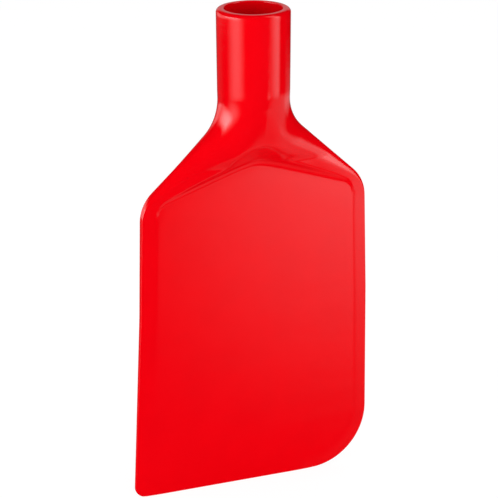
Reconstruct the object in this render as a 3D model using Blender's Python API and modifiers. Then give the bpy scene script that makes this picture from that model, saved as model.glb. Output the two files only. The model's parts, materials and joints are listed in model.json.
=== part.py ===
"""Paddle scraper blade: one plastic moulding, made of a hollow socket for a handle, a pair of
sloping shoulders and a flat blade that thins towards its scraping edge.

The blade stands upright on its scraping edge. X runs across it with the pointed lower corner at
-X, Y runs through it with the front face at -Y, and Z runs up to the socket's rim. The model is
centred over the origin. The socket's axis is a little to the right of it, because the pointed
corner reaches out further than the rounded one.
"""

import math

import bmesh
import bpy
import numpy as np
from mathutils import Matrix, Vector

# Overall length, from the scraping edge to the socket's rim.
LENGTH = 0.220

# Socket for the handle. It narrows a little from the rim to the neck, so that it leaves its mould.
RIM_RADIUS = 0.0160
NECK_RADIUS = 0.0157
SOCKET_LENGTH = 0.0486
RIM_ROUND = 0.0012

# Bore of the socket: a plain blind hole with a broken edge at its mouth and a coned end.
BORE_RADIUS = 0.0129
BORE_END_RADIUS = 0.0124
BORE_DEPTH = 0.040
BORE_MOUTH_BREAK = 0.0005
BORE_END_CONE = 0.004

# Outline of the shoulders and the blade, as half widths from the socket's axis.
SHOULDER_DROP = 0.0346
SHOULDER_HALF_WIDTH = 0.05365
WAIST_HALF_WIDTH = 0.05495
WAIST_HEIGHT = 0.085
POINTED_HALF_WIDTH = 0.0590
ROUNDED_HALF_WIDTH = 0.0554

# Rounding of the outline's corners.
NECK_FILLET = 0.0217
SHOULDER_ROUND = 0.0178
WAIST_ROUND = 0.150
POINTED_CORNER_ROUND = 0.0048
ROUNDED_CORNER_ROUND = 0.0276

# Half thicknesses. The flat panel and the rounded side edges both thin towards the scraping edge.
PANEL_TOP = 0.0027
PANEL_BOTTOM = 0.0011
SIDE_EDGE_TOP = 0.0015
SIDE_EDGE_BOTTOM = 0.0008
SIDE_BEVEL_WIDTH = 0.0070

# The scraping edge is cut off flat, and its two long corners are broken.
SCRAPING_EDGE_BREAK = 0.0003

# Hood: the thick body of the shoulders. Its facets rise from the outline to a ridge, and a short
# steep step runs down from the ridge to the roof-shaped upper end of the panel.
HOOD_EDGE = 0.0032
HOOD_FACET_SLOPE = 0.15
HOOD_STEP_SLOPE = 0.6
ROOF_RISE = 0.0132
ROOF_SLOPE = 0.29
ROOF_APEX_ROUND = 0.0090
HOOD_FADE_HEIGHT = 0.016

# Heights over which the round socket turns into the shoulders, measured from the neck corner.
CORE_ABOVE_NECK = 0.0126
CORE_BELOW_NECK = 0.0154

# Softness of the creases: panel to bevel, over the ridge, and in the hollow along the roof line.
PANEL_CREASE = 0.0003
RIDGE_CREASE = 0.0012
ROOF_CREASE = 0.0006

# Fineness of the mesh.
COLUMNS_PER_SIDE = 16
ROUND_STEPS = 4 * COLUMNS_PER_SIDE
ARC_STEPS = 12
MERGE_DISTANCE = 0.00001

NECK_HEIGHT = LENGTH - SOCKET_LENGTH
SHOULDER_HEIGHT = NECK_HEIGHT - SHOULDER_DROP
ROOF_HEIGHT = SHOULDER_HEIGHT + ROOF_RISE

POINTED_SIDE = -1
ROUNDED_SIDE = 1


def clear_scene():
    for obj in list(bpy.data.objects):
        bpy.data.objects.remove(obj, do_unlink=True)


def new_collection(name):
    collection = bpy.data.collections.new(name)
    bpy.context.scene.collection.children.link(collection)
    return collection


def new_object(name, mesh, collection, material=None):
    obj = bpy.data.objects.new(name, mesh)
    collection.objects.link(obj)
    if material:
        mesh.materials.append(material)
    return obj


def red_plastic():
    """Glossy red food-grade plastic."""
    material = bpy.data.materials.new("red_plastic")
    material.use_nodes = True
    shader = material.node_tree.nodes["Principled BSDF"]
    shader.inputs["Base Color"].default_value = (0.83, 0.004, 0.010, 1.0)
    shader.inputs["Roughness"].default_value = 0.22
    shader.inputs["Metallic"].default_value = 0.0
    return material


def clamp(value):
    return min(max(value, 0.0), 1.0)


def ease(value):
    """Smooth step from 0 to 1."""
    t = clamp(value)
    return t * t * (3 - 2 * t)


def mix(low, high, share):
    return low + (high - low) * share


def soft_min(a, b, crease):
    """The lower of two lengths, with a rounded change from one to the other."""
    share = clamp(0.5 + 0.5 * (b - a) / crease)
    return mix(b, a, share) - crease * share * (1 - share)


def soft_positive(a, crease):
    """The length where it is above zero, and zero elsewhere, with a rounded start."""
    return -soft_min(0.0, -a, crease)


def corner_arc(before, corner, after, radius):
    """Points of the arc that rounds a corner between its two neighbours."""
    corner = Vector(corner)
    to_before = (Vector(before) - corner).normalized()
    to_after = (Vector(after) - corner).normalized()
    half_angle = to_before.angle(to_after) / 2
    centre = corner + (to_before + to_after).normalized() * radius / math.sin(half_angle)
    start = corner + to_before * radius / math.tan(half_angle) - centre
    end = corner + to_after * radius / math.tan(half_angle) - centre
    turn = end.angle_signed(start)
    points = []
    for step in range(ARC_STEPS + 1):
        spoke = Matrix.Rotation(turn * step / ARC_STEPS, 2) @ start
        points.append(tuple(centre + spoke))
    return points


def side_outline(side):
    """Outline of one side, from the scraping edge up to the socket's rim."""
    if side == POINTED_SIDE:
        lower_corner = (POINTED_HALF_WIDTH, 0.0)
        lower_round = POINTED_CORNER_ROUND
    else:
        lower_corner = (ROUNDED_HALF_WIDTH, 0.0)
        lower_round = ROUNDED_CORNER_ROUND
    corners = [
        (0.0, 0.0),
        lower_corner,
        (WAIST_HALF_WIDTH, WAIST_HEIGHT),
        (SHOULDER_HALF_WIDTH, SHOULDER_HEIGHT),
        (NECK_RADIUS, NECK_HEIGHT),
        (RIM_RADIUS, LENGTH),
        (0.0, LENGTH),
    ]
    rounds = [lower_round, WAIST_ROUND, SHOULDER_ROUND, NECK_FILLET, RIM_ROUND]
    points = []
    for i, radius in enumerate(rounds):
        points += corner_arc(*corners[i : i + 3], radius)
    return points


def half_width(outline, height):
    """Half width of one side at a height."""
    return np.interp(height, [z for x, z in outline], [x for x, z in outline])


def distance_in(outline, x, height):
    """Shortest distance from a point of the middle plane to one side's outline."""
    starts = np.array(outline[:-1])
    spans = np.array(outline[1:]) - starts
    away = np.array((x, height)) - starts
    share = np.clip((away * spans).sum(axis=1) / (spans * spans).sum(axis=1), 0, 1)
    return np.linalg.norm(away - spans * share[:, None], axis=1).min()


def roof_line(x):
    """Height of the panel's upper end: a low gable with a rounded apex."""
    fall = math.hypot(x, ROOF_APEX_ROUND) - ROOF_APEX_ROUND
    return ROOF_HEIGHT - ROOF_SLOPE * fall


def edge_round(distance, radius):
    """Quarter circle that rounds an edge: its height at a distance in from the edge."""
    inset = radius - min(distance, radius)
    return math.sqrt(radius * radius - inset * inset)


def half_thickness(x, height, outline):
    """Half thickness of the moulding at a point of its middle plane."""
    reach = half_width(outline, height)
    up_panel = clamp(height / ROOF_HEIGHT)
    panel = mix(PANEL_BOTTOM, PANEL_TOP, up_panel)
    side_edge = mix(SIDE_EDGE_BOTTOM, SIDE_EDGE_TOP, up_panel)
    bevel_slope = (panel - side_edge) / SIDE_BEVEL_WIDTH

    hood = ease((height - ROOF_HEIGHT) / HOOD_FADE_HEIGHT + 1)
    core_low = NECK_HEIGHT - CORE_BELOW_NECK
    core_high = NECK_HEIGHT + CORE_ABOVE_NECK
    core = ease((height - core_low) / (core_high - core_low))

    if core == 1:
        return edge_round(max(reach - abs(x), 0.0), reach)
    from_edge = distance_in(outline, abs(x), height)
    edge = mix(side_edge, HOOD_EDGE, hood)
    edge = mix(edge, reach, core)
    slope = mix(bevel_slope, HOOD_FACET_SLOPE, hood) * (1 - core)
    facet = edge_round(from_edge, edge) + slope * from_edge

    step = panel + HOOD_STEP_SLOPE * soft_positive(height - roof_line(x), ROOF_CREASE)
    half = soft_min(facet, step, mix(PANEL_CREASE, RIDGE_CREASE, hood))
    taken_off = SCRAPING_EDGE_BREAK - edge_round(height, SCRAPING_EDGE_BREAK)
    return half - taken_off * clamp(half / (2 * SCRAPING_EDGE_BREAK))


def row_heights():
    """Heights of the mesh's rows, close together where the form turns quickly."""
    spans = [
        (SCRAPING_EDGE_BREAK, 2),
        (POINTED_CORNER_ROUND, 4),
        (ROUNDED_CORNER_ROUND, 7),
        (WAIST_HEIGHT, 3),
        (SHOULDER_HEIGHT - HOOD_FADE_HEIGHT, 3),
        (NECK_HEIGHT + CORE_ABOVE_NECK, 34),
        (LENGTH - RIM_ROUND, 2),
        (LENGTH, 4),
    ]
    heights = [0.0]
    for top, count in spans:
        low = heights[-1]
        for step in range(1, count + 1):
            share = step / count
            if top == LENGTH:
                share = math.sin(share * math.pi / 2)
            if top == SCRAPING_EDGE_BREAK:
                share = 1 - math.cos(share * math.pi / 2)
            heights.append(mix(low, top, share))
    return heights


def front_half(outlines):
    """Front half of the moulding, open at the middle plane: a grid with a row at each height.

    A flat face closes each end, at the scraping edge and at the rim.
    """
    heights = row_heights()
    bm = bmesh.new()
    bmesh.ops.create_grid(
        bm, x_segments=2 * COLUMNS_PER_SIDE, y_segments=len(heights) - 1, size=1.0
    )
    end_rows = {0: [], len(heights) - 1: []}
    for vert in bm.verts:
        across = vert.co.x
        row = round((vert.co.y + 1) / 2 * (len(heights) - 1))
        height = heights[row]
        side = POINTED_SIDE if across < 0 else ROUNDED_SIDE
        reach = half_width(outlines[side], height)
        x = reach * math.sin(across * math.pi / 2)
        depth = half_thickness(x, height, outlines[side])
        vert.co = (x, -depth, height)
        if row in end_rows:
            end_rows[row].append(vert)
    for row, verts in end_rows.items():
        verts.sort(key=lambda vert: vert.co.x, reverse=(row == 0))
        bm.faces.new(verts)
    mesh = bpy.data.meshes.new("paddle_blade")
    bm.to_mesh(mesh)
    bm.free()
    return mesh


def bore_cutter(collection):
    """Turned cutter for the bore, standing out of the socket's mouth."""
    end = LENGTH - BORE_DEPTH
    above = LENGTH + BORE_END_CONE
    mouth = BORE_RADIUS + BORE_MOUTH_BREAK
    profile = [
        (0.0, above),
        (mouth + (above - LENGTH), above),
        (mouth, LENGTH),
        (BORE_RADIUS, LENGTH - BORE_MOUTH_BREAK),
        (BORE_END_RADIUS, end + BORE_END_CONE),
        (BORE_END_RADIUS - BORE_END_CONE, end),
        (0.0, end),
    ]
    mesh = bpy.data.meshes.new("bore_cutter")
    edges = [(i, i + 1) for i in range(len(profile) - 1)]
    mesh.from_pydata([(x, 0.0, z) for x, z in profile], edges, [])
    cutter = new_object("bore_cutter", mesh, collection)
    screw = cutter.modifiers.new("turn", "SCREW")
    screw.axis = "Z"
    screw.angle = 2 * math.pi
    screw.steps = ROUND_STEPS
    screw.render_steps = ROUND_STEPS
    screw.use_merge_vertices = True
    screw.merge_threshold = MERGE_DISTANCE
    cutter.hide_render = True
    cutter.display_type = "WIRE"
    return cutter


def paddle_blade(parts, cutters):
    """The moulding: its front half, mirrored through the middle plane, with the bore cut out."""
    outlines = {side: side_outline(side) for side in (POINTED_SIDE, ROUNDED_SIDE)}
    mesh = front_half(outlines)
    mesh.shade_smooth()
    mesh.set_sharp_from_angle(angle=math.radians(32))
    blade = new_object("paddle_blade", mesh, parts, red_plastic())

    mirror = blade.modifiers.new("back_half", "MIRROR")
    mirror.use_axis = (False, True, False)
    mirror.merge_threshold = MERGE_DISTANCE

    cutter = bore_cutter(cutters)
    bore = blade.modifiers.new("bore", "BOOLEAN")
    bore.operation = "DIFFERENCE"
    bore.solver = "EXACT"
    bore.object = cutter

    left_reach = max(x for x, z in outlines[POINTED_SIDE])
    right_reach = max(x for x, z in outlines[ROUNDED_SIDE])
    axis_x = (left_reach - right_reach) / 2
    blade.location.x = axis_x
    cutter.location.x = axis_x
    return blade


def main():
    clear_scene()
    parts = new_collection("paddle_scraper")
    cutters = new_collection("cutters")
    paddle_blade(parts, cutters)


main()
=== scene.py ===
"""Paddle scraper blade, modelled finely and set up for a studio picture.

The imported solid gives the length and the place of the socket's axis. The moulding here keeps the
solid's outline and thicknesses to within a few tenths of a millimetre, and adds a fuller hood over
the shoulders, fine creases, the thread inside the socket and the finish of the plastic. Sizes are
in metres, and angles are in degrees unless a property says otherwise.
"""

import json
import math

import bmesh
import bpy
import numpy as np
from bpy.props import FloatProperty, FloatVectorProperty, PointerProperty
from mathutils import Matrix, Vector


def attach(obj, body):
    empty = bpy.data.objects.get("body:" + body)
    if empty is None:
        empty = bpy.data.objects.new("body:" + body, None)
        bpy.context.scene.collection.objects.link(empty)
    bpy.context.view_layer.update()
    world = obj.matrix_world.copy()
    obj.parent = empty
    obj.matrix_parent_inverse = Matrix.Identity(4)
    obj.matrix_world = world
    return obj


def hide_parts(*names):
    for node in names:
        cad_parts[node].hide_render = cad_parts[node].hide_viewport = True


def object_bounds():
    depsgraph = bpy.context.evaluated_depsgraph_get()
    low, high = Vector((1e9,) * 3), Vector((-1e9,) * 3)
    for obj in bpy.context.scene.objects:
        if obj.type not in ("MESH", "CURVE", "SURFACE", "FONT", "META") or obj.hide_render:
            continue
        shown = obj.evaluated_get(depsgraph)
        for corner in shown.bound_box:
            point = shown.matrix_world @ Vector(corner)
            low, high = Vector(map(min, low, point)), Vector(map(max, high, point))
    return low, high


bl_info = {
    "name": "Paddle scraper",
    "version": (1, 0, 0),
    "blender": (4, 5, 0),
    "location": "3D View > Sidebar > Scraper",
    "description": "Models a moulded paddle scraper blade and a small studio round it",
    "category": "Object",
}

NODE = "paddle_blade"
BODY = "root"

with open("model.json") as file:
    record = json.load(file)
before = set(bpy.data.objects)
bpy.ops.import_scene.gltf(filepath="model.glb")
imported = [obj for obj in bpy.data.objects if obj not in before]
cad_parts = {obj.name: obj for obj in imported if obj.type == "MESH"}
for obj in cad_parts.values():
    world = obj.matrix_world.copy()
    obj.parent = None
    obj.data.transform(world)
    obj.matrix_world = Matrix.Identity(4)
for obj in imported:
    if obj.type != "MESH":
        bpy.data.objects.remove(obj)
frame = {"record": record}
CAD_LOW, CAD_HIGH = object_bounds()
SOCKET_LOW, SOCKET_HIGH = frame["record"]["physics"]["openings"][0]["box_m"]
SOCKET_AXIS_X = (SOCKET_LOW[0] + SOCKET_HIGH[0]) / 2

POINTED_SIDE = -1
ROUNDED_SIDE = 1


def length_property(name, description, default):
    return FloatProperty(
        name=name, description=description, default=default, min=0.0, precision=5,
        subtype="DISTANCE", unit="LENGTH",
    )


def plain_property(name, description, default):
    return FloatProperty(name=name, description=description, default=default, precision=3)


def angle_property(name, description, degrees):
    return FloatProperty(
        name=name, description=description, default=math.radians(degrees),
        subtype="ANGLE", unit="ROTATION",
    )


class OutlineSizes(bpy.types.PropertyGroup):
    """Sizes of the moulding's outline, seen from the front."""

    length: length_property("Length", "Scraping edge to rim", CAD_HIGH[2] - CAD_LOW[2])
    rim_radius: length_property("Rim radius", "Outer radius of the socket at its rim", 0.0163)
    neck_radius: length_property("Neck radius", "Outer radius of the socket at the neck", 0.0159)
    socket_length: length_property("Socket length", "Rim to the neck's corner", 0.0486)
    rim_round: length_property("Rim rounding", "Rounding of the rim's outer edge", 0.0018)
    shoulder_drop: length_property("Shoulder drop", "Neck corner to shoulder corner", 0.0346)
    shoulder: length_property("Shoulder", "Half width at the shoulder corner", 0.05365)
    waist: length_property("Waist", "Half width part way down the blade", 0.05495)
    waist_height: length_property("Waist height", "Height of that half width", 0.085)
    pointed: length_property("Pointed corner", "Half width at the pointed corner", 0.0590)
    rounded: length_property("Rounded corner", "Half width at the rounded corner", 0.0554)
    neck_fillet: length_property("Neck fillet", "Radius of the hollow at the neck", 0.0217)
    shoulder_round: length_property("Shoulder rounding", "Radius of the shoulder", 0.0178)
    waist_round: length_property("Waist rounding", "Radius of the slight bend there", 0.150)
    pointed_round: length_property("Pointed rounding", "Radius of the pointed corner", 0.0048)
    rounded_round: length_property("Rounded rounding", "Radius of the rounded corner", 0.0276)


class ReliefSizes(bpy.types.PropertyGroup):
    """Half thicknesses, slopes and creases of the moulding's face."""

    panel_top: length_property("Panel top", "Half thickness at the panel's top", 0.0028)
    panel_bottom: length_property("Panel bottom", "Half thickness at the edge", 0.0011)
    side_top: length_property("Side edge top", "Half thickness of the side, at the top", 0.0016)
    side_bottom: length_property("Side edge bottom", "Same, at the scraping edge", 0.0008)
    side_round: length_property("Side rounding", "Rounding of the side's two corners", 0.0004)
    bevel_width: length_property("Bevel width", "Width of the bevel beside the panel", 0.0062)
    edge_break: length_property("Edge break", "Rounding of the scraping edge", 0.0003)
    hood_edge: length_property("Hood edge", "Rounding of the shoulders' edge", 0.0050)
    hood_start: length_property("Hood start", "Height at which the hood sets in", 0.128)
    hood_fade: length_property("Hood fade", "Height over which the hood sets in", 0.034)
    hood_stretch: plain_property("Hood stretch", "Width of that rounding to its height", 2.6)
    facet_slope: plain_property("Facet slope", "Rise of the hood's facets", 0.13)
    facet_bow: plain_property("Facet bow", "Bow of the hood's facets, per metre", 9.5)
    step_slope: plain_property("Step slope", "Rise of the step above the panel", 0.85)
    step_height: length_property("Step height", "Height of the step, up to its crest", 0.0093)
    front_slope: plain_property("Front slope", "Rise of the hood's front above the crest", 0.30)
    roof_rise: length_property("Roof rise", "Roof apex above the shoulder corner", 0.0143)
    roof_slope: plain_property("Roof slope", "Fall of the panel's upper end", 0.333)
    roof_round: length_property("Roof rounding", "Length over which the apex is rounded", 0.0050)
    panel_half: length_property("Panel half width", "Half width of the panel's top", 0.0473)
    panel_corner: length_property("Panel corner", "Rounding of the panel's corners", 0.0040)
    groove: length_property("Groove", "Depth of the shallow hollow under the roof", 0.00014)
    groove_width: length_property("Groove width", "Height of that hollow", 0.006)
    core_start: length_property("Core start", "Height where the winged section starts", 0.150)
    core_fade: length_property("Core fade", "Height over which it turns round", 0.0346)
    keel_lean: plain_property("Keel lean", "How far the facets' keel is rounded down", 0.46)
    keel_round: length_property("Keel rounding", "Width of the rounded keel", 0.030)
    panel_crease: length_property("Panel crease", "Softness of panel to bevel", 0.00015)
    ridge_crease: length_property("Ridge crease", "Softness of the hood's ridge", 0.0007)
    neck_crease: length_property("Neck crease", "Softness of the front into the socket", 0.003)
    crest_crease: length_property("Crest crease", "Softness of the step's crest", 0.0006)
    roof_crease: length_property("Roof crease", "Softness of the hollow at the roof", 0.0020)


class BoreSizes(bpy.types.PropertyGroup):
    """Sizes of the bore that takes the handle, and of its moulded thread."""

    radius: length_property("Bore radius", "Radius of the bore at its mouth", 0.0128)
    end_radius: length_property("End radius", "Radius of the bore at its end", 0.0124)
    depth: length_property("Bore depth", "Rim to the bottom of the bore", 0.040)
    mouth_break: length_property("Mouth rounding", "Rounding of the bore's mouth", 0.0004)
    thread_start: length_property("Thread start", "Depth at which the thread begins", 0.0095)
    thread_pitch: length_property("Thread pitch", "Climb of the thread in one turn", 0.0050)
    thread_height: length_property("Thread height", "Height of the thread's ridge", 0.0009)


class Finish(bpy.types.PropertyGroup):
    """Colour and gloss of the plastic."""

    colour: FloatVectorProperty(
        name="Plastic colour", description="Colour of the plastic", subtype="COLOR",
        default=(0.87, 0.0, 0.004), min=0.0, max=1.0,
    )
    roughness: plain_property("Roughness", "Roughness of the glossy surface", 0.07)


class StudioSettings(bpy.types.PropertyGroup):
    """Where the picture is taken from, and how brightly things are lit."""

    azimuth: angle_property("Azimuth", "Camera's turn to the left of the front", -23.49)
    elevation: angle_property("Elevation", "Camera's height above the level", 18.433)
    distance: length_property("Distance", "Camera to the middle of the moulding", 1.150)
    focal: FloatProperty(
        name="Focal length", description="Lens, in millimetres, on a 36 mm sensor",
        default=186.65, min=1.0, subtype="DISTANCE_CAMERA",
    )
    aim_turn: angle_property("Aim turn", "Turn of the view off the target", 0.122)
    aim_lift: angle_property("Aim lift", "Lift of the view off the target", -0.004)
    aim_roll: angle_property("Aim roll", "Roll of the view", -0.253)
    ambient: plain_property("Ambient", "Light from all round on dull surfaces", 0.62)


# Fineness of the mesh: columns on each side of the socket's axis, the rows in each stretch of
# its height from the scraping edge up, and the steps of each rounded corner of the outline.
COLUMNS_PER_SIDE = 60
ROW_SPANS = (
    ("edge", 4),
    ("pointed", 10),
    ("rounded", 20),
    ("waist", 14),
    ("hood", 20),
    ("neck", 165),
    ("socket", 24),
    ("rim", 9),
)
ARC_STEPS = 48
MERGE_DISTANCE = 0.000001

# Powers that shape the change from the shoulders to the round socket: below 1 the round section
# sets in earlier, and the high one keeps the hood's front as it is until just below the socket.
CORE_EARLINESS = 0.85
CORE_SETTING_IN = 28


class Form:
    """The moulding's outline and relief, as functions of a place on its middle plane."""

    def __init__(self, outline, relief):
        self.size = outline
        self.relief = relief
        self.neck_height = outline.length - outline.socket_length
        self.shoulder_height = self.neck_height - outline.shoulder_drop
        self.roof_height = self.shoulder_height + relief.roof_rise
        self.sides = {side: self.side_outline(side) for side in (POINTED_SIDE, ROUNDED_SIDE)}

    def side_outline(self, side):
        """Points of one side's outline, from the scraping edge up to the rim."""
        size = self.size
        if side == POINTED_SIDE:
            lower_corner = (size.pointed, 0.0)
            lower_round = size.pointed_round
        else:
            lower_corner = (size.rounded, 0.0)
            lower_round = size.rounded_round
        corners = [
            (0.0, 0.0),
            lower_corner,
            (size.waist, size.waist_height),
            (size.shoulder, self.shoulder_height),
            (size.neck_radius, self.neck_height),
            (size.rim_radius, size.length),
            (0.0, size.length),
        ]
        rounds = [
            lower_round, size.waist_round, size.shoulder_round, size.neck_fillet, size.rim_round
        ]
        points = []
        for i, radius in enumerate(rounds):
            points += corner_arc(*corners[i : i + 3], radius)
        return np.array(points)

    def half_width(self, side, height):
        """Distance from the socket's axis to one side's outline, at each height."""
        points = self.sides[side]
        return np.interp(height, points[:, 1], points[:, 0])

    def distance_in(self, side, x, height):
        """Shortest distance from a place on the middle plane to one side's outline."""
        nearest = np.full(len(x), math.inf)
        points = self.sides[side]
        for start, end in zip(points, points[1:]):
            along = end - start
            share = (x - start[0]) * along[0] + (height - start[1]) * along[1]
            share = np.clip(share / np.dot(along, along), 0, 1)
            gap = np.hypot(x - start[0] - along[0] * share, height - start[1] - along[1] * share)
            nearest = np.minimum(nearest, gap)
        return nearest

    def half_thickness(self, x, height, side):
        """Half the moulding's thickness at places on its middle plane, on one side."""
        relief = self.relief
        reach = self.half_width(side, height)
        up_panel = np.clip(height / self.roof_height, 0, 1)
        panel = mix(relief.panel_bottom, relief.panel_top, up_panel)
        side_edge = mix(relief.side_bottom, relief.side_top, up_panel)
        bevel_slope = (panel - side_edge) / relief.bevel_width

        # Shares of the hood and of the round socket in the section.
        hood = ease((height - relief.hood_start) / relief.hood_fade)
        core = ease((height - relief.core_start) / relief.core_fade) ** CORE_EARLINESS
        in_socket = core == 1

        # Facet: a low wall at the outline, its rounded nose, and a slope that rises inwards.
        inset = np.where(in_socket, reach - abs(x), self.distance_in(side, abs(x), height))
        wall = (side_edge - relief.side_round) * (1 - hood)
        nose = mix(mix(relief.side_round, relief.hood_edge, hood), reach, core)
        stretch = mix(mix(1, relief.hood_stretch, hood), 1, core)
        slope = mix(bevel_slope, relief.facet_slope, hood) * (1 - core)
        keel = hood * relief.keel_lean * (np.hypot(x, relief.keel_round) - abs(x))
        bow = hood * (1 - core) * relief.facet_bow * np.maximum(inset - nose * stretch, 0) ** 2
        facet = wall + edge_round(inset / stretch, nose) + slope * np.maximum(inset - keel, 0) - bow

        # Front: the flat panel, and above its roof line the step, the crest and the hood's front.
        above_roof = height - self.roof_line(x)
        rise = soft_positive(above_roof, relief.roof_crease)
        crest = (relief.step_slope - relief.front_slope) * relief.step_height
        front = soft_min(
            relief.step_slope * rise, crest + relief.front_slope * rise, relief.crest_crease
        )
        front = panel + front + reach * core ** CORE_SETTING_IN
        front = front - relief.groove * np.exp(-abs(above_roof) / relief.groove_width)

        # The lower of the two holds, and the scraping edge is broken.
        crease = mix(relief.panel_crease, relief.ridge_crease, hood)
        crease = mix(crease, relief.neck_crease, core)
        half = np.where(in_socket, facet, soft_min(facet, front, crease))
        taken_off = relief.edge_break - edge_round(height, relief.edge_break)
        return half - taken_off * np.clip(half / (2 * relief.edge_break), 0, 1)

    def roof_line(self, x):
        """Height of the panel's upper end: a low gable with a round at its apex and ends."""
        relief = self.relief
        fall = relief.roof_slope * (np.hypot(x, relief.roof_round) - relief.roof_round)
        from_end = np.maximum(relief.panel_half - abs(x), 0)
        corner = relief.panel_corner - edge_round(from_end, relief.panel_corner)
        return self.roof_height - fall - corner


def ease(value):
    """Smooth step from 0 to 1."""
    t = np.clip(value, 0, 1)
    return t * t * (3 - 2 * t)


def mix(low, high, share):
    return low + (high - low) * share


def soft_min(a, b, crease):
    """The lower of two lengths, with a rounded change from one to the other."""
    share = np.clip(0.5 + 0.5 * (b - a) / crease, 0, 1)
    return mix(b, a, share) - crease * share * (1 - share)


def soft_positive(a, crease):
    """The length where it is above zero and zero elsewhere, with a rounded start."""
    return -soft_min(0.0, -a, crease)


def edge_round(distance, radius):
    """Quarter circle that rounds an edge: its height at a distance in from the edge."""
    inset = radius - np.minimum(distance, radius)
    return np.sqrt(np.maximum(radius * radius - inset * inset, 0))


def corner_arc(before, corner, after, radius):
    """Points of the arc that rounds a corner between its two neighbours."""
    corner = np.array(corner)
    to_before = np.array(before) - corner
    to_after = np.array(after) - corner
    to_before /= np.linalg.norm(to_before)
    to_after /= np.linalg.norm(to_after)
    half_angle = math.acos(np.dot(to_before, to_after)) / 2
    middle = (to_before + to_after) / np.linalg.norm(to_before + to_after)
    centre = corner + middle * radius / math.sin(half_angle)
    start = corner + to_before * radius / math.tan(half_angle) - centre
    end = corner + to_after * radius / math.tan(half_angle) - centre
    first = math.atan2(start[1], start[0])
    turn = math.remainder(math.atan2(end[1], end[0]) - first, 2 * math.pi)
    points = []
    for step in range(ARC_STEPS + 1):
        angle = first + turn * step / ARC_STEPS
        points.append(centre + radius * np.array([math.cos(angle), math.sin(angle)]))
    return points


def row_heights(form):
    """Heights of the mesh's rows, close together where the form turns quickly."""
    size = form.size
    tops = {
        "edge": form.relief.edge_break,
        "pointed": size.pointed_round,
        "rounded": size.rounded_round,
        "waist": size.waist_height,
        "hood": form.relief.hood_start,
        "neck": form.relief.core_start + form.relief.core_fade,
        "socket": size.length - size.rim_round,
        "rim": size.length,
    }
    heights = [0.0]
    for name, count in ROW_SPANS:
        low = heights[-1]
        for step in range(1, count + 1):
            share = step / count
            if name == "edge":
                share = 1 - math.cos(share * math.pi / 2)
            if name == "rim":
                share = math.sin(share * math.pi / 2)
            heights.append(mix(low, tops[name], share))
    return np.array(heights)


def shape_front(bm, form):
    """Makes the front half: a grid drawn out to the outline and raised to the relief."""
    heights = row_heights(form)
    rows = len(heights) - 1
    bmesh.ops.create_grid(bm, x_segments=2 * COLUMNS_PER_SIDE, y_segments=rows, size=1.0)
    columns = np.rint([vert.co.x * COLUMNS_PER_SIDE for vert in bm.verts])
    # The outermost columns lie on the middle plane, so that the last faces make the edge's wall.
    on_wall = abs(columns) == COLUMNS_PER_SIDE
    across = np.clip(columns / (COLUMNS_PER_SIDE - 1), -1, 1)
    row = np.rint([(vert.co.y + 1) / 2 * rows for vert in bm.verts]).astype(int)
    height = heights[row]
    x = np.zeros(len(across))
    depth = np.zeros(len(across))
    for side in (POINTED_SIDE, ROUNDED_SIDE):
        own = across < 0 if side == POINTED_SIDE else across >= 0
        reach = form.half_width(side, height[own])
        x[own] = reach * np.sin(across[own] * math.pi / 2)
        depth[own] = form.half_thickness(x[own], height[own], side)
    depth[on_wall] = 0
    for vert, place in zip(bm.verts, zip(SOCKET_AXIS_X + x, -depth, height)):
        vert.co = place


def mirror_to_back(bm):
    """Adds the back half as the mirror image of the front one, joined along the outline."""
    geometry = bm.verts[:] + bm.edges[:] + bm.faces[:]
    bmesh.ops.mirror(bm, geom=geometry, axis="Y", merge_dist=MERGE_DISTANCE)
    bmesh.ops.remove_doubles(bm, verts=bm.verts, dist=MERGE_DISTANCE)


def close_scraping_edge(bm):
    """Fills the flat underside of the scraping edge."""
    ring = [edge for edge in bm.edges if edge.is_boundary and edge.verts[0].co.z < MERGE_DISTANCE]
    bmesh.ops.contextual_create(bm, geom=ring)


def draw_in(bm, edges, scale, drop):
    """Extrudes a ring of edges, brings it towards the socket's axis and lowers it."""
    grown = bmesh.ops.extrude_edge_only(bm, edges=edges)["geom"]
    verts = [item for item in grown if isinstance(item, bmesh.types.BMVert)]
    axis_space = Matrix.Translation((-SOCKET_AXIS_X, 0.0, 0.0))
    bmesh.ops.scale(bm, vec=(scale, scale, 1.0), space=axis_space, verts=verts)
    bmesh.ops.translate(bm, vec=(0.0, 0.0, -drop), verts=verts)
    return [item for item in grown if isinstance(item, bmesh.types.BMEdge)], verts


# The bore's rows: steps round its mouth, the height of each row of its wall, and the height of
# the cone at its end. The thread's ridge is this share of the pitch to each side of its middle,
# and it grows to its full height over this share of a turn.
MOUTH_STEPS = 5
WALL_STEP = 0.0004
END_CONE = 0.004
THREAD_HALF_WIDTH = 0.28
THREAD_RUN_IN = 0.5


def bore_profile(bore):
    """Radius and depth of each ring of the bore, from its mouth down to its end."""
    profile = [(bore.radius + bore.mouth_break, 0.0)]
    for step in range(1, MOUTH_STEPS + 1):
        turn = step / MOUTH_STEPS * math.pi / 2
        profile.append((
            bore.radius + bore.mouth_break * (1 - math.sin(turn)),
            bore.mouth_break * (1 - math.cos(turn)),
        ))
    wall_depth = bore.depth - END_CONE
    wall_rows = round(wall_depth / WALL_STEP)
    for step in range(1, wall_rows + 1):
        share = step / wall_rows
        profile.append((
            mix(bore.radius, bore.end_radius, share),
            mix(bore.mouth_break, wall_depth, share),
        ))
    profile.append((bore.end_radius - END_CONE, bore.depth))
    return profile


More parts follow.
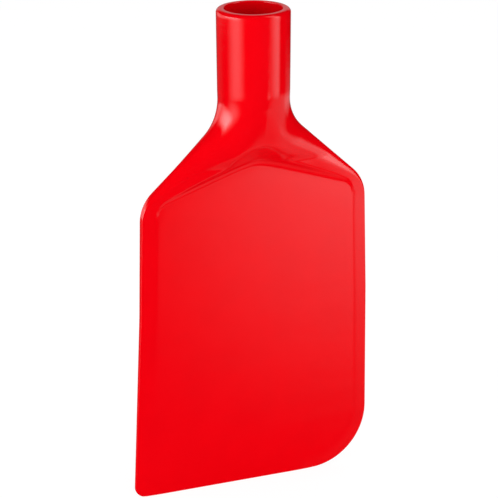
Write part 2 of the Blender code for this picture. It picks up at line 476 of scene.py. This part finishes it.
def sink_bore(bm, form, bore):
    """Closes the rim with its flat ring and draws the bore down from it, thread and all."""
    top = form.size.length - MERGE_DISTANCE
    ring = [edge for edge in bm.edges if edge.is_boundary and edge.verts[0].co.z > top]
    radius = form.size.rim_radius - form.size.rim_round
    depth = 0.0
    wall = []
    for next_radius, next_depth in bore_profile(bore):
        ring, verts = draw_in(bm, ring, next_radius / radius, next_depth - depth)
        radius = next_radius
        depth = next_depth
        wall += verts
    bmesh.ops.contextual_create(bm, geom=ring)
    raise_thread(wall, form, bore)


def raise_thread(wall, form, bore):
    """Draws a helical ridge inwards from the bore's wall."""
    wall_depth = bore.depth - END_CONE
    for vert in wall:
        from_axis = Vector((vert.co.x - SOCKET_AXIS_X, vert.co.y))
        depth = form.size.length - vert.co.z
        turn = math.atan2(from_axis.y, from_axis.x) / (2 * math.pi)
        turns_down = (depth - bore.thread_start) / bore.thread_pitch - turn
        along = turns_down - round(turns_down)
        ridge = (1 + math.cos(math.pi * min(abs(along) / THREAD_HALF_WIDTH, 1.0))) / 2
        fade_in = float(ease((turns_down + THREAD_RUN_IN) / THREAD_RUN_IN))
        fade_out = float(ease((wall_depth - depth) / bore.thread_pitch))
        inward = bore.thread_height * ridge * fade_in * fade_out
        if inward > 0:
            scale = 1 - inward / from_axis.length
            vert.co.x = SOCKET_AXIS_X + from_axis.x * scale
            vert.co.y = from_axis.y * scale


class Value:
    """A shader socket that takes part in Python arithmetic."""

    def __init__(self, nodes, socket):
        self.nodes = nodes
        self.socket = socket

    def math(self, operation, *values):
        """Adds one Math node on the given sockets and numbers."""
        return self.nodes.add(
            "ShaderNodeMath", {"operation": operation}, dict(enumerate(values))
        )

    def __add__(self, other):
        return self.math("ADD", self, other)

    __radd__ = __add__

    def __mul__(self, other):
        return self.math("MULTIPLY", self, other)

    __rmul__ = __mul__

    def __sub__(self, other):
        return self.math("SUBTRACT", self, other)

    def __rsub__(self, other):
        return self.math("SUBTRACT", other, self)

    def between(self, low, high):
        """Smooth step: 0 at low, 1 at high. High may be the lower number."""
        settings = {"interpolation_type": "SMOOTHSTEP"}
        return self.nodes.add(
            "ShaderNodeMapRange", settings, {"Value": self, "From Min": low, "From Max": high}
        )


class Nodes:
    """A material's or world's nodes, written as expressions."""

    def __init__(self, tree):
        self.tree = tree
        tree.nodes.clear()

    def add(self, kind, settings=None, inputs=None, output=0):
        """Adds a node, sets it up, fills its sockets and gives back one of its outputs."""
        node = self.tree.nodes.new(kind)
        for name, setting in (settings or {}).items():
            setattr(node, name, setting)
        for name, value in (inputs or {}).items():
            if isinstance(value, Value):
                self.tree.links.new(value.socket, node.inputs[name])
            else:
                node.inputs[name].default_value = value
        return Value(self, node.outputs[output]) if node.outputs else None

    def place(self):
        """Object coordinates of the place that is shaded."""
        return self.add("ShaderNodeTexCoord", output="Object")

    def along(self, place, axis):
        """One coordinate of a place: its distance along an axis."""
        return self.add("ShaderNodeSeparateXYZ", None, {"Vector": place}, axis)


def new_material(name):
    """A new material and its empty node tree."""
    material = bpy.data.materials.new(name)
    material.use_nodes = True
    return material, Nodes(material.node_tree)


MILLIMETRE = 0.001

# Unevenness left by the mould: patterns per metre along X, Y and Z, their detail, and their
# heights in millimetres on the blade and on the socket, with the change over this height.
RIPPLES = {"scale": (60, 60, 1400), "detail": 2.0, "on_blade": 0.004, "on_socket": 0.029}
SWELL = {"scale": (60, 60, 110), "detail": 1.0, "on_blade": 0.03, "on_socket": 0.09}
SOCKET_BLEND = 0.012

# Faint mottle in colour and gloss: patterns per metre, their detail, the values of the pattern
# between which the colour changes, how dark the darker colour is, and the span in roughness.
MOTTLE_SCALE = 45.0
MOTTLE_DETAIL = 3.0
MOTTLE_FROM = 0.35
MOTTLE_TO = 0.65
MOTTLE_DARKER = 0.97
MOTTLE_ROUGHNESS = 0.02

# Places of a Mix node's colour sockets among its inputs and outputs.
MIX_COLOUR_A = 6
MIX_COLOUR_B = 7
MIX_COLOUR_RESULT = 2

WHITE = (1.0, 1.0, 1.0, 1.0)


def mould_pattern(nodes, place, on_socket, pattern):
    """Height of one pattern that the mould left, lower on the blade than on the socket."""
    stretched = nodes.add(
        "ShaderNodeMapping", {"vector_type": "POINT"}, {"Vector": place, "Scale": pattern["scale"]}
    )
    noise = nodes.add(
        "ShaderNodeTexNoise",
        None,
        {"Vector": stretched, "Scale": 1.0, "Detail": pattern["detail"]},
    )
    more_on_socket = pattern["on_socket"] - pattern["on_blade"]
    return noise * (on_socket * more_on_socket + pattern["on_blade"])


def plastic_material(finish, form):
    """Glossy red plastic, with the faint ripples of its mould."""
    material, nodes = new_material("red_plastic")
    place = nodes.place()
    height = nodes.along(place, "Z")
    on_socket = height.between(form.neck_height, form.neck_height + SOCKET_BLEND)
    surface = mould_pattern(nodes, place, on_socket, RIPPLES)
    surface = surface + mould_pattern(nodes, place, on_socket, SWELL)
    bump = nodes.add(
        "ShaderNodeBump", None, {"Strength": 1.0, "Distance": MILLIMETRE, "Height": surface}
    )

    mottle = nodes.add(
        "ShaderNodeTexNoise",
        None,
        {"Vector": place, "Scale": MOTTLE_SCALE, "Detail": MOTTLE_DETAIL},
    )
    colour = nodes.add(
        "ShaderNodeMix",
        {"data_type": "RGBA"},
        {
            "Factor": mottle.between(MOTTLE_FROM, MOTTLE_TO),
            MIX_COLOUR_A: (*[MOTTLE_DARKER * part for part in finish.colour], 1.0),
            MIX_COLOUR_B: (*finish.colour, 1.0),
        },
        output=MIX_COLOUR_RESULT,
    )
    shader = nodes.add(
        "ShaderNodeBsdfPrincipled",
        None,
        {
            "Base Color": colour,
            "Roughness": mottle * MOTTLE_ROUGHNESS + (finish.roughness - MOTTLE_ROUGHNESS / 2),
            "Normal": bump,
        },
    )
    nodes.add("ShaderNodeOutputMaterial", None, {"Surface": shader})
    return material


def new_piece(name, bm, material):
    """Turns a finished bmesh into an object of one material."""
    mesh = bpy.data.meshes.new(name)
    bm.to_mesh(mesh)
    bm.free()
    mesh.materials.append(material)
    piece = bpy.data.objects.new(name, mesh)
    bpy.context.scene.collection.objects.link(piece)
    return piece


class SCRAPER_OT_moulding(bpy.types.Operator):
    """Models the moulding: blade, shoulders, socket, bore and thread"""

    bl_idname = "scraper.moulding"
    bl_label = "Moulding"

    def execute(self, context):
        scene = context.scene
        form = Form(scene.scraper_outline, scene.scraper_relief)
        bm = bmesh.new()
        shape_front(bm, form)
        mirror_to_back(bm)
        close_scraping_edge(bm)
        sink_bore(bm, form, scene.scraper_bore)
        bmesh.ops.recalc_face_normals(bm, faces=bm.faces)
        open_edges = [edge for edge in bm.edges if not edge.is_manifold]
        if open_edges:
            raise RuntimeError(f"The moulding has {len(open_edges)} open edges")
        material = plastic_material(scene.scraper_finish, form)
        piece = new_piece("blade_moulding", bm, material)
        piece.data.shade_smooth()
        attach(piece, BODY)
        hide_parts(NODE)
        return {"FINISHED"}


def seen_ray(nodes):
    """1 where a surface is seen by the camera, in a reflection or through glass."""
    path = "ShaderNodeLightPath"
    camera = nodes.add(path, output="Is Camera Ray")
    glossy = nodes.add(path, output="Is Glossy Ray")
    through = nodes.add(path, output="Is Transmission Ray")
    return camera.math("MAXIMUM", camera.math("MAXIMUM", camera, glossy), through)


# Floor: its radius and the corners of its circle, its pale colour, and the share and the
# strength of the white that it gives off where it is seen.
FLOOR_REACH = 3.0
FLOOR_CORNERS = 96
FLOOR_COLOUR = 0.88
FLOOR_GLOW = 0.8
FLOOR_STRENGTH = 1.12


def floor_material():
    """Pale floor: mostly white where it is seen, and still dull enough to take a shadow."""
    material, nodes = new_material("floor_pale")
    dull = nodes.add(
        "ShaderNodeBsdfDiffuse", None, {"Color": (FLOOR_COLOUR, FLOOR_COLOUR, FLOOR_COLOUR, 1.0)}
    )
    glow = nodes.add("ShaderNodeEmission", None, {"Color": WHITE, "Strength": FLOOR_STRENGTH})
    blend = nodes.add(
        "ShaderNodeMixShader", None, {"Fac": seen_ray(nodes) * FLOOR_GLOW, 1: dull, 2: glow}
    )
    nodes.add("ShaderNodeOutputMaterial", None, {"Surface": blend})
    return material


TENT_RADIUS = 2.0
TENT_ROWS = 32

# Panels of the light tent, in degrees round from the front and above the level: the two angles
# between which each one's brightness rises, the two between which it falls, and its radiance.
TENT_PANELS = (
    # Right of the front: a low narrow strip, the wide window and its brighter middle.
    {"round": (17.5, 28, 28, 35), "up": (-27, -13, -15.8, -13.4), "light": 1.4},
    {"round": (22, 54, 57, 71), "up": (-28, -8, 50, 75), "light": 1.8},
    {"round": (38, 48, 58, 68), "up": (-4, 6, 14, 24), "light": 1.4},
    # Right side, below the level: three dim stretches of cloth.
    {"round": (88, 104, 150, 170), "up": (-32, -22, -14, -11.5), "light": 0.3},
    {"round": (62, 80, 150, 170), "up": (-58, -36, -20, -13.5), "light": 0.43},
    {"round": (70, 100, 130, 160), "up": (-80, -72, -66, -56), "light": 0.35},
    # Left side: the window, a bright strip beside it and a fainter one further back.
    {"round": (-116, -78, -74, -46), "up": (-27, -12, 12, 26), "light": 1.6},
    {"round": (-135, -100, -80, -58), "up": (-11, 4, 10, 26), "light": 5.0},
    {"round": (-178, -150, -125, -105), "up": (-10.5, -8, 8, 18), "light": 1.0},
    # Behind: dim cloth on both sides, and a pale patch above it on the right.
    {"round": (-182, -181, -150, -125), "up": (-40, -20, 8, 30), "light": 0.08},
    {"round": (125, 150, 181, 182), "up": (-40, -20, 30, 45), "light": 0.12},
    {"round": (125, 145, 181, 182), "up": (-2, 8, 20, 32), "light": 0.30},
)

# Pale sweep below the panels, on the right of the front. Its left border slants, so that it
# comes nearer to the front the lower it is.
SWEEP_UP = (-90, -31, -20, -13.5)
SWEEP_SLANT = 0.7
SWEEP_LEFT_BORDER = (44, 78)
SWEEP_RIGHT_BORDER = (80, 62)
SWEEP_LIGHT = 0.43


def band(angle, edges):
    """Rises from 0 to 1 between the first two edges and falls back between the last two."""
    rise, full, fade, gone = edges
    return angle.between(rise, full) * angle.between(gone, fade)


def tent_material():
    """Inside of the light tent: soft bright panels on dark cloth."""
    material, nodes = new_material("tent_cloth")
    place = nodes.place()
    x, y, z = [nodes.along(place, axis) for axis in ("X", "Y", "Z")]
    degrees = 180 / math.pi
    above_middle = z - CAD_HIGH[2] / 2
    level = x.math("POWER", x * x + y * y, 0.5)
    round_angle = x.math("ARCTAN2", x, y * -1.0) * degrees
    up_angle = x.math("ARCTAN2", above_middle, level) * degrees

    slanted = round_angle - up_angle * SWEEP_SLANT
    light = slanted.between(*SWEEP_LEFT_BORDER) * round_angle.between(*SWEEP_RIGHT_BORDER)
    light = light * band(up_angle, SWEEP_UP) * SWEEP_LIGHT
    for panel in TENT_PANELS:
        patch = band(round_angle, panel["round"]) * band(up_angle, panel["up"])
        light = light + patch * panel["light"]
    glow = nodes.add("ShaderNodeEmission", None, {"Color": light, "Strength": 1.0})
    nodes.add("ShaderNodeOutputMaterial", None, {"Surface": glow})
    material.cycles.emission_sampling = "NONE"
    return material


def add_tent():
    """Round tent that only shows in the gloss of the plastic."""
    bm = bmesh.new()
    bmesh.ops.create_uvsphere(
        bm, u_segments=2 * TENT_ROWS, v_segments=TENT_ROWS, radius=TENT_RADIUS
    )
    bmesh.ops.reverse_faces(bm, faces=bm.faces)
    tent = new_piece("light_tent", bm, tent_material())
    tent.visible_camera = False
    tent.visible_diffuse = False
    tent.visible_transmission = False
    tent.visible_shadow = False


def add_floor():
    """Round floor under the scraping edge."""
    bm = bmesh.new()
    bmesh.ops.create_circle(bm, cap_ends=True, segments=FLOOR_CORNERS, radius=FLOOR_REACH)
    floor = new_piece("floor", bm, floor_material())
    floor.visible_glossy = False


# Softboxes: degrees round from the front and above the level, distance, width and power.
SOFTBOXES = (
    {"name": "key_left", "round": -80, "up": 8, "away": 1.3, "width": 0.9, "watts": 10},
    {"name": "fill_front", "round": 20, "up": 0, "away": 1.4, "width": 0.9, "watts": 13},
    {"name": "top", "round": 0, "up": 85, "away": 1.3, "width": 0.9, "watts": 2.5},
)


def direction(round_degrees, up_degrees):
    """Unit vector from the object towards a place in the studio."""
    turn = math.radians(round_degrees)
    lift = math.radians(up_degrees)
    return Vector((
        math.sin(turn) * math.cos(lift), -math.cos(turn) * math.cos(lift), math.sin(lift)
    ))


def add_softboxes(target):
    """Square lamps round the target, which light it and don't show in its gloss."""
    for box in SOFTBOXES:
        lamp = bpy.data.lights.new(box["name"], "AREA")
        lamp.shape = "SQUARE"
        lamp.size = box["width"]
        lamp.energy = box["watts"]
        holder = bpy.data.objects.new(box["name"], lamp)
        away = direction(box["round"], box["up"])
        holder.location = target + away * box["away"]
        holder.rotation_euler = away.to_track_quat("Z", "Y").to_euler()
        holder.visible_glossy = False
        holder.visible_camera = False
        bpy.context.scene.collection.objects.link(holder)


def light_world(ambient):
    """Even light from all round, and white where the room itself is seen."""
    world = bpy.data.worlds.new("studio")
    bpy.context.scene.world = world
    world.use_nodes = True
    world.cycles_visibility.glossy = False
    nodes = Nodes(world.node_tree)
    fill = nodes.add("ShaderNodeBackground", None, {"Strength": ambient})
    white = nodes.add("ShaderNodeBackground", None, {"Color": WHITE, "Strength": 1.0})
    blend = nodes.add("ShaderNodeMixShader", None, {"Fac": seen_ray(nodes), 1: fill, 2: white})
    nodes.add("ShaderNodeOutputWorld", None, {"Surface": blend})


SENSOR_WIDTH = 36.0


def add_camera(studio, target):
    """Camera at the photograph's angle, with the small turns that place the object in it."""
    camera_data = bpy.data.cameras.new("camera")
    camera_data.lens = studio.focal
    camera_data.sensor_width = SENSOR_WIDTH
    camera = bpy.data.objects.new("camera", camera_data)
    azimuth = math.degrees(studio.azimuth)
    elevation = math.degrees(studio.elevation)
    camera.location = target + direction(azimuth, elevation) * studio.distance
    back = direction(
        azimuth + math.degrees(studio.aim_turn), elevation + math.degrees(studio.aim_lift)
    )
    level = back.to_track_quat("Z", "Y").to_matrix()
    camera.rotation_euler = (level @ Matrix.Rotation(studio.aim_roll, 3, "Z")).to_euler()
    bpy.context.scene.collection.objects.link(camera)
    bpy.context.scene.camera = camera


class SCRAPER_OT_studio(bpy.types.Operator):
    """Sets up the floor, the light tent, the softboxes and the camera"""

    bl_idname = "scraper.studio"
    bl_label = "Studio"

    def execute(self, context):
        studio = context.scene.scraper_studio
        target = Vector((SOCKET_AXIS_X, 0.0, CAD_HIGH[2] / 2))
        add_floor()
        add_tent()
        add_softboxes(target)
        light_world(studio.ambient)
        add_camera(studio, target)
        context.scene.view_settings.view_transform = "Standard"
        return {"FINISHED"}


class SCRAPER_PT_sidebar(bpy.types.Panel):
    """Lists the scraper's operators and sizes"""

    bl_idname = "SCRAPER_PT_sidebar"
    bl_label = "Paddle scraper"
    bl_space_type = "VIEW_3D"
    bl_region_type = "UI"
    bl_category = "Scraper"

    def draw(self, context):
        for operator in OPERATORS:
            self.layout.operator(operator.bl_idname)
        for name in GROUPS:
            group = getattr(context.scene, name)
            box = self.layout.box()
            for key in group.bl_rna.properties.keys():
                if key not in ("rna_type", "name"):
                    box.prop(group, key)


OPERATORS = (SCRAPER_OT_moulding, SCRAPER_OT_studio)
GROUPS = {
    "scraper_outline": OutlineSizes,
    "scraper_relief": ReliefSizes,
    "scraper_bore": BoreSizes,
    "scraper_finish": Finish,
    "scraper_studio": StudioSettings,
}


def register():
    for group in GROUPS.values():
        bpy.utils.register_class(group)
    for name, group in GROUPS.items():
        setattr(bpy.types.Scene, name, PointerProperty(type=group))
    for operator in OPERATORS:
        bpy.utils.register_class(operator)
    bpy.utils.register_class(SCRAPER_PT_sidebar)


def unregister():
    bpy.utils.unregister_class(SCRAPER_PT_sidebar)
    for operator in reversed(OPERATORS):
        bpy.utils.unregister_class(operator)
    for name in GROUPS:
        delattr(bpy.types.Scene, name)
    for group in reversed(GROUPS.values()):
        bpy.utils.unregister_class(group)


def main():
    register()
    bpy.ops.scraper.moulding()
    bpy.ops.scraper.studio()


if __name__ == "__main__":
    main()
